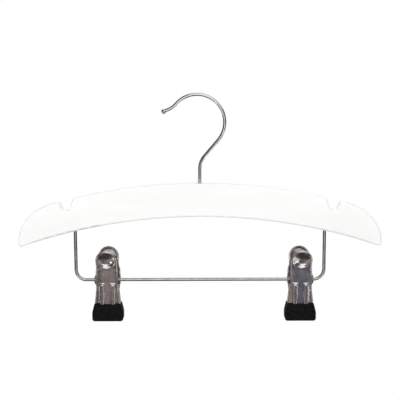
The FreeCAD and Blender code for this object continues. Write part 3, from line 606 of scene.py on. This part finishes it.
    def strip(self, bm: bmesh.types.BMesh, border: Sequence[bmesh.types.BMEdge], cuts: int,
              reach: Optional[float]) -> list[bmesh.types.BMEdge]:
        """Grows a strip of sheet inwards from a border.

        Args:
            bm: Shape that grows.
            border: Edges to start from.
            cuts: How many times the strip is divided across.
            reach: Width of the strip, or None to reach the middle line.

        Returns:
            Inner border of the strip.
        """
        depth = bm.verts.layers.float["inset"]
        inner = verts_in(bmesh.ops.extrude_edge_only(bm, edges=list(border))["geom"])
        for vert in inner:
            target = self.spine(vert.co)
            inward = target - vert.co
            if reach is None:
                vert.co = target
            else:
                vert.co += inward.normalized() * reach
            vert[depth] += reach if reach else inward.length
        edge_set = set(edges_of(inner))
        inside = set(inner)
        rungs = [edge for vert in inner for edge in vert.link_edges if edge not in edge_set]
        rungs = [edge for edge in rungs if len(inside.intersection(edge.verts)) == 1]
        bmesh.ops.subdivide_edges(bm, edges=rungs, cuts=cuts, use_grid_fill=True)
        return list(edge_set)

    def press(self, bm: bmesh.types.BMesh) -> None:
        """Gives the flat skin its bend, hollow, ribs and rolled rim.

        Args:
            bm: Flat half of the jaw, with each vertex's distance from the border.
        """
        depth = bm.verts.layers.float["inset"]
        for vert in bm.verts:
            x, z = vert.co.x, vert.co.z
            y = self.face(z) + self.dish(x, z) + self.crown(x, z) - self.rib(x, z)
            inset, radius = vert[depth], self.rim(z)
            if inset < radius - MERGE:
                roll = (1 - inset / radius) * math.pi / 2
                inward = (self.spine(vert.co) - vert.co).normalized()
                vert.co -= inward * (radius * math.sin(roll) - radius + inset)
                y += radius * (1 - math.cos(roll))
                y -= self.bead * self.around_pad(z) * math.sin(2 * roll)
            vert.co.y = y

    def ear(self, sign: int) -> bpy.types.Mesh:
        """Makes one ear with its bore.

        Args:
            sign: +1 on the right of the jaw, -1 on the left.

        Returns:
            Mesh of the ear.
        """
        bm = bmesh.new()
        thick = self.sheet - 2 * self.ear_inset
        x = sign * (self.shoulder - self.ear_inset) - (thick if sign > 0 else 0)
        start = bm.verts.new((x, 0, -self.ear_radius))
        spun = bmesh.ops.spin(bm, geom=[start], cent=(x, 0, 0), axis=(1, 0, 0), angle=math.pi,
                              steps=self.ear_cuts, use_duplicate=False)["geom_last"]
        last = verts_in(spun)[0]
        upper = bm.verts.new((x, self.ear_root, self.ear_radius))
        lower = bm.verts.new((x, self.ear_root, -self.ear_radius))
        for pair in ((last, upper), (upper, lower), (lower, start)):
            bm.edges.new(pair)
        rim = list(bm.edges)
        turn = Matrix.Translation((x, 0, 0)) @ Matrix.Rotation(math.pi / 2, 4, "Y")
        bore = bmesh.ops.create_circle(bm, segments=self.bore_sides, radius=self.ear_bore,
                                       matrix=turn)["verts"]
        plate = bmesh.ops.bridge_loops(bm, edges=rim + edges_of(bore))["faces"]
        grown = bmesh.ops.extrude_face_region(bm, geom=plate, use_keep_orig=True)["geom"]
        bmesh.ops.translate(bm, verts=verts_in(grown), vec=(thick, 0, 0))
        bmesh.ops.recalc_face_normals(bm, faces=bm.faces)
        for face in bm.faces:
            flat = abs(face.normal.x) > self.flat_share
            face.material_index = Finish.OUTSIDE if flat else Finish.CUT
        mesh = bpy.data.meshes.new("ear_blank")
        bm.to_mesh(mesh)
        bm.free()
        return mesh

    def build(self, outside: bpy.types.Material, inside: bpy.types.Material,
              cut: bpy.types.Material) -> bpy.types.Object:
        """Builds the jaw in its place.

        Args:
            outside: Finish of the polished side of the sheet.
            inside: Finish of its duller back.
            cut: Finish of the cut edges of the ears.

        Returns:
            The piece, riding on its body.
        """
        bm = bmesh.new()
        bm.verts.layers.float.new("inset")
        border = self.outline(bm)
        inner = self.strip(bm, border, self.rim_cuts, self.rim_radius)
        self.strip(bm, inner, self.skin_cuts, None)
        bmesh.ops.remove_doubles(bm, verts=bm.verts, dist=MERGE)
        self.press(bm)
        flange = bmesh.ops.extrude_edge_only(bm, edges=border)["geom"]
        for vert in verts_in(flange):
            vert.co.y += self.flange_depth - self.rim(vert.co.z)
        skin = bm.verts[:] + bm.edges[:] + bm.faces[:]
        bmesh.ops.mirror(bm, geom=skin, axis="X", merge_dist=MERGE)
        bmesh.ops.remove_doubles(bm, verts=bm.verts, dist=MERGE)
        bmesh.ops.recalc_face_normals(bm, faces=bm.faces)
        broadest = max(bm.faces, key=lambda face: abs(face.normal.y))
        if broadest.normal.y > 0:
            bmesh.ops.reverse_faces(bm, faces=bm.faces)
        before = set(bm.faces)
        bmesh.ops.solidify(bm, geom=bm.faces[:], thickness=self.sheet)
        for face in bm.faces:
            face.material_index = Finish.OUTSIDE if face in before else Finish.INSIDE
        for sign in (1, -1):
            ear = self.ear(sign)
            bm.from_mesh(ear)
            bpy.data.meshes.remove(ear)
        turn = facing_turn(self.middle, self.facing.value)
        bmesh.ops.transform(bm, matrix=turn, verts=bm.verts)
        node = f"{self.side}_{self.facing.label}_jaw"
        piece = piece_from(bm, node + "_stamping", outside)
        piece.data.materials.append(inside)
        piece.data.materials.append(cut)
        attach(piece, f"{self.side}_{self.facing.label}")
        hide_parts(node)
        return piece


@dataclass
class SpringHalf:
    """Half of a clip's torsion spring: two turns and a bit, and one leg behind a pad."""

    side: str
    facing: Facing
    middle: Vector
    wire: float = 0.0011
    radius: float = 0.00285
    pitch: float = 0.00165
    leg: float = 0.0176
    turns: int = 4
    lean_deg: float = 11.15
    bend_from: float = 0.002
    bend_to: float = 0.010
    tip_round: float = 0.00025
    tip_cuts: int = 3
    wire_sides: int = 14
    coil_steps: int = 64
    leg_steps: int = 12

    def build(self, material: bpy.types.Material) -> bpy.types.Object:
        """Winds the half and bends it between the clip and its jaw.

        Args:
            material: Finish of the wire.

        Returns:
            The piece, which follows the jaw with its leg.
        """
        lean = math.radians(self.lean_deg)
        sweep = math.pi - 2 * lean + 2 * math.pi * self.turns
        climb = self.pitch / (2 * math.pi)
        begin = math.pi + lean
        across, up = self.radius * math.cos(begin), self.radius * math.sin(begin)
        start = Vector((-climb * sweep / 2, across, up))
        heading = Vector((climb, -up, across)).normalized()
        bm = bmesh.new()
        aim = Matrix.Translation(start) @ heading.to_track_quat("Z", "Y").to_matrix().to_4x4()
        ring = bmesh.ops.create_circle(bm, segments=self.wire_sides, radius=self.wire / 2,
                                       matrix=aim)["verts"]
        run = edges_of(ring)
        rise = Vector((climb * sweep / 2 / self.coil_steps, 0, 0))
        wound = bmesh.ops.spin(bm, geom=run, cent=(0, 0, 0), axis=(1, 0, 0), dvec=rise,
                               angle=sweep / 2, steps=self.coil_steps,
                               use_duplicate=False)["geom_last"]
        cap(bm, [item for item in wound if isinstance(item, bmesh.types.BMEdge)])
        for _ in range(self.leg_steps):
            ring = verts_in(bmesh.ops.extrude_edge_only(bm, edges=run)["geom"])
            bmesh.ops.translate(bm, verts=ring, vec=-heading * self.leg / self.leg_steps)
            run = edges_of(ring)
        cap(bm, run)
        bmesh.ops.bevel(bm, geom=run, offset=self.tip_round, offset_type="OFFSET",
                        segments=self.tip_cuts, profile=ROUND_PROFILE, affect="EDGES", material=-1)
        bmesh.ops.recalc_face_normals(bm, faces=bm.faces)
        turn = facing_turn(self.middle, self.facing.value)
        bmesh.ops.transform(bm, matrix=turn, verts=bm.verts)
        piece = piece_from(bm, f"{self.side}_spring_{self.facing.label}_half", material)
        low = self.middle + Vector((0, 0, self.bend_from))
        high = self.middle + Vector((0, 0, self.bend_to))
        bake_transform(piece, f"{self.side}_swing", f"{self.side}_{self.facing.label}",
                 start=low, end=high)
        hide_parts(f"{self.side}_spring")
        return piece


@dataclass
class HollowRivet:
    """Hollow rivet through the ears, with a rolled head at each end."""

    side: str
    middle: Vector
    bore: float = 0.00145
    outside: float = 0.0019
    head_radius: float = 0.0029
    head_inner: float = 0.0104
    head_outer: float = 0.0109
    roll: float = 0.00022
    roll_cuts: int = 4
    sides: int = 48

    def build(self, material: bpy.types.Material) -> bpy.types.Object:
        """Turns the rivet in its place.

        Args:
            material: Finish of the rivet.

        Returns:
            The piece, riding on the sleeve's body.
        """
        bm = bmesh.new()
        half = (
            (self.head_outer, self.bore),
            (self.head_outer, self.head_radius),
            (self.head_inner, self.head_radius),
            (self.head_inner, self.outside),
        )
        loop = list(half) + [(-x, r) for x, r in reversed(half)]
        verts = [bm.verts.new((x, 0, r)) for x, r in loop]
        for pair in zip(verts, verts[1:] + verts[:1]):
            bm.edges.new(pair)
        rolled = [vert for vert in verts if abs(vert.co.z - self.outside) > MERGE]
        bmesh.ops.bevel(bm, geom=rolled, offset=self.roll, offset_type="OFFSET",
                        segments=self.roll_cuts, profile=ROUND_PROFILE, affect="VERTICES",
                        material=-1)
        bmesh.ops.spin(bm, geom=bm.edges[:], cent=(0, 0, 0), axis=(1, 0, 0), angle=2 * math.pi,
                       steps=self.sides, use_merge=True, use_duplicate=False)
        bmesh.ops.remove_doubles(bm, verts=bm.verts, dist=MERGE)
        bmesh.ops.recalc_face_normals(bm, faces=bm.faces)
        bmesh.ops.translate(bm, verts=bm.verts, vec=self.middle)
        piece = piece_from(bm, f"{self.side}_rolled_rivet", material)
        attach(piece, f"{self.side}_sleeve")
        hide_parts(f"{self.side}_hinge_sleeve")
        return piece


@dataclass
class Clip:
    """One sliding skirt clip on the bar."""

    side: str
    front_shoulder: float = 0.0092
    rear_shoulder: float = 0.0103

    @property
    def middle(self) -> Vector:
        """Middle of the clip on the bar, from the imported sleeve."""
        low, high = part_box(f"{self.side}_hinge_sleeve")
        return (low + high) / 2

    def build(self, finishes: dict[str, bpy.types.Material]) -> None:
        """Builds the clip's pieces and dresses its rubber caps.

        Args:
            finishes: Materials by finish.
        """
        shoulders = {Facing.FRONT: self.front_shoulder, Facing.REAR: self.rear_shoulder}
        for facing, shoulder in shoulders.items():
            stamping = Stamping(self.side, facing, self.middle, shoulder)
            jaw = stamping.build(
                finishes["clip_chrome"], finishes["clip_inside"], finishes["clip_cut"])
            half = SpringHalf(self.side, facing, self.middle).build(finishes["spring_steel"])
            dress(f"{self.side}_{facing.label}_tip", finishes["grip_rubber"])
            LOG.info("pieces %s and %s", jaw.name, half.name)
        rivet = HollowRivet(self.side, self.middle).build(finishes["rivet_steel"])
        LOG.info("piece %s", rivet.name)


@dataclass
class Hanger:
    """Arm, swivel hook and trouser bar, which keep their CAD shapes."""

    nodes: tuple[tuple[str, str], ...] = (
        ("arm", "white_paint"),
        ("hook", "chrome_wire"),
        ("trouser_bar", "bar_wire"),
        ("hook_bush", "swivel_steel"),
        ("hook_washer", "swivel_steel"),
    )

    def build(self, finishes: dict[str, bpy.types.Material]) -> None:
        """Dresses the nodes.

        Args:
            finishes: Materials by finish.
        """
        for node, finish in self.nodes:
            dress(node, finishes[finish])


# Studio

@dataclass(frozen=True)
class Card:
    """Patch of the surroundings that the metal mirrors, seen from the part."""

    name: str
    azimuth: tuple[float, float]
    elevation: tuple[float, float]
    colour: Colour
    strength: float = 1.0
    radius: float = 1.9
    centre: Optional[Place] = None
    step_deg: float = 6.0

    def mesh(self, centre: Vector) -> bpy.types.Mesh:
        """Makes the patch as part of a ball about the part.

        Args:
            centre: Centre of the ball.

        Returns:
            Mesh of the patch. Azimuth 0 is the front and grows to the right.
        """
        turn, rise = math.radians(self.azimuth[0]), math.radians(self.elevation[0])
        wide = math.radians(self.azimuth[1] - self.azimuth[0])
        tall = math.radians(self.elevation[1] - self.elevation[0])
        step = math.radians(self.step_deg)
        ahead = Vector((math.sin(turn), -math.cos(turn), 0))
        start = centre + self.radius * (ahead * math.cos(rise) + Vector((0, 0, math.sin(rise))))
        bm = bmesh.new()
        first = bm.verts.new(start)
        bmesh.ops.spin(bm, geom=[first], cent=centre, axis=ahead.cross((0, 0, 1)), angle=tall,
                       steps=math.ceil(tall / step), use_duplicate=False)
        bmesh.ops.spin(bm, geom=bm.edges[:], cent=centre, axis=(0, 0, 1), angle=wide,
                       steps=math.ceil(wide / step), use_duplicate=False)
        mesh = bpy.data.meshes.new(self.name)
        bm.to_mesh(mesh)
        bm.free()
        return mesh

    def material(self) -> bpy.types.Material:
        """Makes the even glow of the patch.

        Returns:
            The finished material.
        """
        bench = NodeBench(self.name)
        glow = bench.tree.nodes.new("ShaderNodeEmission")
        glow.inputs["Color"].default_value = (*self.colour, 1.0)
        glow.inputs["Strength"].default_value = self.strength
        bench.tree.links.new(glow.outputs[0], bench.tree.nodes["Material Output"].inputs["Surface"])
        return bench.material

    def hang(self, centre: Vector) -> bpy.types.Object:
        """Hangs the patch where only mirror rays meet it.

        Args:
            centre: Centre of the surroundings, for a card without its own.

        Returns:
            The patch.
        """
        mesh = self.mesh(Vector(self.centre) if self.centre else centre)
        mesh.materials.append(self.material())
        patch = bpy.data.objects.new(self.name, mesh)
        bpy.context.scene.collection.objects.link(patch)
        patch.visible_camera = False
        patch.visible_diffuse = False
        patch.visible_shadow = False
        return patch


@dataclass(frozen=True)
class SoftLamp:
    """Square soft lamp that looks at the part."""

    name: str
    place: Place
    size: float
    power: float

    def hang(self, target: Vector) -> bpy.types.Object:
        """Hangs the lamp.

        Args:
            target: Point that the lamp looks at.

        Returns:
            The lamp.
        """
        lamp = bpy.data.lights.new(self.name, "AREA")
        lamp.size = self.size
        lamp.energy = self.power
        holder = bpy.data.objects.new(self.name, lamp)
        holder.location = self.place
        holder.rotation_mode = "QUATERNION"
        holder.rotation_quaternion = (target - Vector(self.place)).to_track_quat("-Z", "Y")
        bpy.context.scene.collection.objects.link(holder)
        holder.visible_glossy = False
        return holder


# Tones that the cards glow with. Only mirror rays meet the cards, so each tone is a painted reflection in
# the metal.
DARK_REFLECTION_GLOW: Colour = (0.13, 0.128, 0.13)
UNDER_REFLECTION_GLOW: Colour = (0.075, 0.068, 0.066)
EDGE_REFLECTION_GLOW: Colour = (0.17, 0.145, 0.14)
BROWN_REFLECTION_GLOW: Colour = (0.32, 0.265, 0.26)
BLUE_REFLECTION_GLOW: Colour = (0.165, 0.17, 0.215)
BEIGE_REFLECTION_GLOW: Colour = (0.50, 0.41, 0.36)
GREY_REFLECTION_GLOW: Colour = (0.42, 0.41, 0.41)
WHITE_GLOW: Colour = (1.0, 0.99, 0.97)

LOW_CENTRE: Place = (0.0, 0.0, -0.15)
LEFT_CLIP: Place = (-0.0772, 0.0, -0.15)
RIGHT_CLIP: Place = (0.0838, 0.0, -0.15)
LEFT_LEG: Place = (-0.113, 0.0, -0.128)
RIGHT_LEG: Place = (0.113, 0.0, -0.128)
LOW_RADIUS = 0.62
GLOW_RADIUS = 0.60

# Each card paints a reflection: the wall, skirt, table, slope, under and back cards paint dark and tinted
# surroundings into the metal, the shade cards paint dark bands on the hook's shank and the bar's legs, and
# the glow cards paint white highlights in the pads' hollows, on the ribs and along the wires.
CARDS = (
    Card("left_wall", (-160, -16), (-17, 70), DARK_REFLECTION_GLOW),
    Card("right_wall", (16, 160), (-17, 25), DARK_REFLECTION_GLOW),
    Card("left_skirt", (-160, -24), (-30, -17), DARK_REFLECTION_GLOW, 1.0, LOW_RADIUS, LOW_CENTRE),
    Card("right_skirt", (24, 160), (-28, -17), BLUE_REFLECTION_GLOW, 1.0, LOW_RADIUS, LOW_CENTRE),
    Card("left_table", (-24, 0), (-50, -17), BROWN_REFLECTION_GLOW, 1.0, LOW_RADIUS, LOW_CENTRE),
    Card("right_table", (0, 24), (-50, -17), BLUE_REFLECTION_GLOW, 1.0, LOW_RADIUS, LOW_CENTRE),
    Card("left_slope", (-75, -24), (-50, -30), GREY_REFLECTION_GLOW, 1.0, LOW_RADIUS, LOW_CENTRE),
    Card("right_slope", (24, 36), (-50, -28), BLUE_REFLECTION_GLOW, 1.0, LOW_RADIUS, LOW_CENTRE),
    Card("under_edge", (-180, 180), (-60, -50), EDGE_REFLECTION_GLOW, 1.0, LOW_RADIUS, LOW_CENTRE),
    Card("under", (-180, 180), (-89, -60), UNDER_REFLECTION_GLOW, 1.0, LOW_RADIUS, LOW_CENTRE),
    Card("hook_back", (140, 220), (-3, 35), DARK_REFLECTION_GLOW, 1.0, 0.12, (0.0, 0.0, 0.0)),
    Card("bar_back", (175, 185), (-1, 1.5), DARK_REFLECTION_GLOW, 1.0, 1.9, (0.0, -1.78, -0.152)),
    Card("front_glow", (-16, 16), (-17, 36), WHITE_GLOW, 1.5, 1.8),
    Card("left_glow", (-53, -41), (-32, -23), WHITE_GLOW, 3.0, GLOW_RADIUS, LOW_CENTRE),
    Card("right_glow", (41, 53), (-32, -24), WHITE_GLOW, 3.0, GLOW_RADIUS, LOW_CENTRE),
    Card("rib_glow", (57, 62), (-26, -17), WHITE_GLOW, 3.5, GLOW_RADIUS, LOW_CENTRE),
    Card("shank_shade", (-24, 24), (-28, 22), DARK_REFLECTION_GLOW, 1.0, 0.05, (0.0, 0.0, -0.05)),
    Card("left_clip_glow", (-42, -14), (0, 30), WHITE_GLOW, 1.2, 0.20, LEFT_CLIP),
    Card("right_clip_glow", (14, 42), (0, 30), WHITE_GLOW, 1.2, 0.20, RIGHT_CLIP),
    Card("left_leg_shade", (-28, 8), (-34, 24), DARK_REFLECTION_GLOW, 1.0, 0.06, LEFT_LEG),
    Card("right_leg_shade", (-4, 28), (-34, 24), DARK_REFLECTION_GLOW, 1.0, 0.06, RIGHT_LEG),
    Card("middle_beige_glow", (-92.5, -87.5), (-3, -1), BEIGE_REFLECTION_GLOW, 1.0, 1.9, (1.9, -0.13, -0.16)),
    Card("middle_glow", (-7.5, 7.5), (-12, -7), WHITE_GLOW, 3.0, 0.23, (0.0, 0.0, -0.16)),
)

LAMPS = (
    SoftLamp("key_lamp", (-0.50, -0.95, 0.45), 0.55, 4.5),
    SoftLamp("fill_lamp", (0.60, -0.95, 0.40), 0.55, 3.0),
    SoftLamp("top_lamp", (0.0, 0.25, 0.95), 0.9, 2.2),
    SoftLamp("back_lamp", (0.10, 1.05, 0.10), 0.7, 3.0),
)


@dataclass
class Studio:
    """White surroundings, soft lamps, cards for the metal to mirror, and the camera."""

    target: Vector = field(default_factory=lambda: Vector((0.00017, 0.0, -0.0852)))
    distance: float = 0.720
    elevation_deg: float = 8.0
    roll_deg: float = -0.17
    lens: float = 78.48
    sensor: float = 36.0
    nearest: float = 0.01
    ambient: float = 0.60
    floor_height: float = -0.80
    floor_half: float = 1.3
    floor_tone: Colour = (0.9, 0.9, 0.9)
    floor_roughness: float = 0.8

    def backdrop(self) -> None:
        """Sets a world that is white in view and in reflections and dimmer as light."""
        world = bpy.data.worlds.new("white_surroundings")
        bpy.context.scene.world = world
        world.use_nodes = True
        tree = world.node_tree
        paper = tree.nodes["Background"]
        paper.inputs["Color"].default_value = (1, 1, 1, 1)
        paper.inputs["Strength"].default_value = 1.0
        light = tree.nodes.new("ShaderNodeBackground")
        light.inputs["Color"].default_value = (1, 1, 1, 1)
        light.inputs["Strength"].default_value = self.ambient
        self.choose(tree, light.outputs[0], paper.outputs[0],
                    tree.nodes["World Output"].inputs["Surface"])

    @staticmethod
    def choose(tree: bpy.types.NodeTree, plain: bpy.types.NodeSocket, seen: bpy.types.NodeSocket,
               target: bpy.types.NodeSocket) -> None:
        """Shows one shader to camera, glossy and transmission rays and another to the rest.

        Args:
            tree: Node tree to add to.
            plain: Shader for all other rays.
            seen: Shader for the rays that see the surroundings.
            target: Socket that takes the result.
        """
        rays = tree.nodes.new("ShaderNodeLightPath")
        both = tree.nodes.new("ShaderNodeMath")
        both.operation = "MAXIMUM"
        tree.links.new(rays.outputs["Is Camera Ray"], both.inputs[0])
        tree.links.new(rays.outputs["Is Glossy Ray"], both.inputs[1])
        every = tree.nodes.new("ShaderNodeMath")
        every.operation = "MAXIMUM"
        tree.links.new(both.outputs[0], every.inputs[0])
        tree.links.new(rays.outputs["Is Transmission Ray"], every.inputs[1])
        mix = tree.nodes.new("ShaderNodeMixShader")
        tree.links.new(every.outputs[0], mix.inputs["Fac"])
        tree.links.new(plain, mix.inputs[1])
        tree.links.new(seen, mix.inputs[2])
        tree.links.new(mix.outputs[0], target)

    def floor(self) -> None:
        """Lays a pale floor far below the hanging part."""
        bench = NodeBench("pale_floor")
        bench.set(Base_Color=(*self.floor_tone, 1), Roughness=self.floor_roughness)
        paper = bench.tree.nodes.new("ShaderNodeEmission")
        out = bench.tree.nodes["Material Output"].inputs["Surface"]
        self.choose(bench.tree, bench.shader.outputs[0], paper.outputs[0], out)
        bm = bmesh.new()
        bmesh.ops.create_grid(bm, x_segments=1, y_segments=1, size=self.floor_half,
                              matrix=Matrix.Translation((0, 0, self.floor_height)))
        mesh = bpy.data.meshes.new("floor")
        bm.to_mesh(mesh)
        bm.free()
        mesh.materials.append(bench.material)
        floor = bpy.data.objects.new("floor", mesh)
        bpy.context.scene.collection.objects.link(floor)

    def camera(self) -> None:
        """Sets the camera at the photograph's viewing angle."""
        rise = math.radians(self.elevation_deg)
        back = Vector((0, -math.cos(rise), math.sin(rise)))
        data = bpy.data.cameras.new("camera")
        data.lens = self.lens
        data.sensor_width = self.sensor
        data.clip_start = self.nearest
        holder = bpy.data.objects.new("camera", data)
        holder.location = self.target + back * self.distance
        holder.rotation_mode = "QUATERNION"
        roll = Quaternion((0, 0, 1), math.radians(self.roll_deg))
        holder.rotation_quaternion = (-back).to_track_quat("-Z", "Y") @ roll
        bpy.context.scene.collection.objects.link(holder)
        bpy.context.scene.camera = holder

    def build(self) -> None:
        """Sets up the whole studio."""
        bpy.context.scene.view_settings.view_transform = "Standard"
        self.backdrop()
        self.floor()
        for card in CARDS:
            card.hang(self.target)
        for lamp in LAMPS:
            lamp.hang(self.target)
        self.camera()


def main() -> None:
    """Builds the looks in order."""
    logging.basicConfig(level=logging.INFO)
    finishes = {
        "white_paint": WHITE_PAINT.material(),
        "chrome_wire": CHROME_WIRE.material(),
        "bar_wire": PAINTED_SHADE_BAR_CHROME.material(),
        "swivel_steel": SWIVEL_STEEL.material(),
        "rivet_steel": RIVET_PLATE.material(),
        "spring_steel": SPRING_WIRE.material(),
        "clip_chrome": CLIP_PLATE.material(),
        "clip_inside": CLIP_INSIDE.material(),
        "clip_cut": CLIP_CUT.material(),
        "grip_rubber": GRIP_RUBBER.material(),
    }
    Hanger().build(finishes)
    for side in ("left", "right"):
        Clip(side).build(finishes)
    Studio().build()
    LOG.info("sizes noted")


if __name__ == "__main__":
    main()
